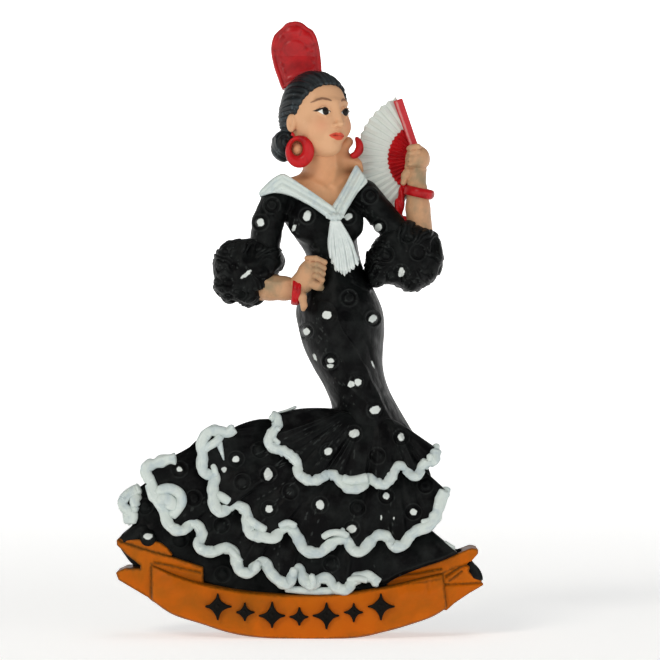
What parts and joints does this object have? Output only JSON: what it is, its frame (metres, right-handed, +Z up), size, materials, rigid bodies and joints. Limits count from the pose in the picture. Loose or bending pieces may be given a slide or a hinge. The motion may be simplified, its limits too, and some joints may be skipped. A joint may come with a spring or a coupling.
{
  "type": "souvenir figurine magnet",
  "caption": "Flat-backed hand-painted resin fridge magnet: a dancer with comb, fan and polka-dot dress whose flounced train sits behind a curled ribbon, with a ferrite disc let into the back.",
  "frame": {"origin": "centre of the magnet disc's flat face, where the figurine meets the steel it hangs on", "axes": "+Z up along the figure's height, -Y forwards out of the relief, +Y into the steel behind, +X to the viewer's right"},
  "size_m": [0.0538, 0.0122, 0.0901],
  "materials": {
    "skin_paint": "hand-painted satin acrylic on cast resin",
    "hair_paint": "hand-painted satin acrylic on combed strands",
    "black_paint": "hand-painted satin acrylic, worn grey on the ridges",
    "white_paint": "hand-painted satin acrylic with grey in the folds",
    "red_paint": "hand-painted satin acrylic",
    "orange_paint": "hand-painted satin acrylic with an olive brown wash",
    "ferrite": "ground sintered ferrite",
    "adhesive": "cured clear adhesive, slightly yellowed"
  },
  "bodies": {
    "root": {"face": "skin_paint", "neck_and_chest": "skin_paint", "hand_right": "skin_paint", "hand_left": "skin_paint", "forearm_right": "skin_paint", "forearm_left": "skin_paint", "hair": "hair_paint", "hair_bun": "hair_paint", "bodice": "black_paint", "skirt_hips": "black_paint", "sleeve_right": "black_paint", "sleeve_left": "black_paint", "sleeve_frill_right": "black_paint", "sleeve_frill_left": "black_paint", "flounce_1": "black_paint", "flounce_2": "black_paint", "flounce_3": "black_paint", "flounce_4": "black_paint", "skirt_core": "black_paint", "ribbon_motif_1": "black_paint", "ribbon_motif_2": "black_paint", "ribbon_motif_3": "black_paint", "ribbon_motif_4": "black_paint", "ribbon_motif_5": "black_paint", "ribbon_motif_6": "black_paint", "ribbon_motif_7": "black_paint", "shawl_right": "white_paint", "shawl_left": "white_paint", "shawl_knot": "white_paint", "shawl_tassel": "white_paint", "fan_leaf": "white_paint", "flounce_edge_1": "white_paint", "flounce_edge_2": "white_paint", "flounce_edge_3": "white_paint", "flounce_edge_4": "white_paint", "comb": "red_paint", "earring_right": "red_paint", "earring_left": "red_paint", "bracelet_right": "red_paint", "bracelet_left": "red_paint", "fan_sticks": "red_paint", "fan_guard_upper": "red_paint", "fan_guard_lower": "red_paint", "ribbon_panel": "orange_paint", "ribbon_tail_right": "orange_paint", "ribbon_tail_left": "orange_paint", "magnet": "ferrite", "magnet_glue": "adhesive"}
  },
  "joints": []
}
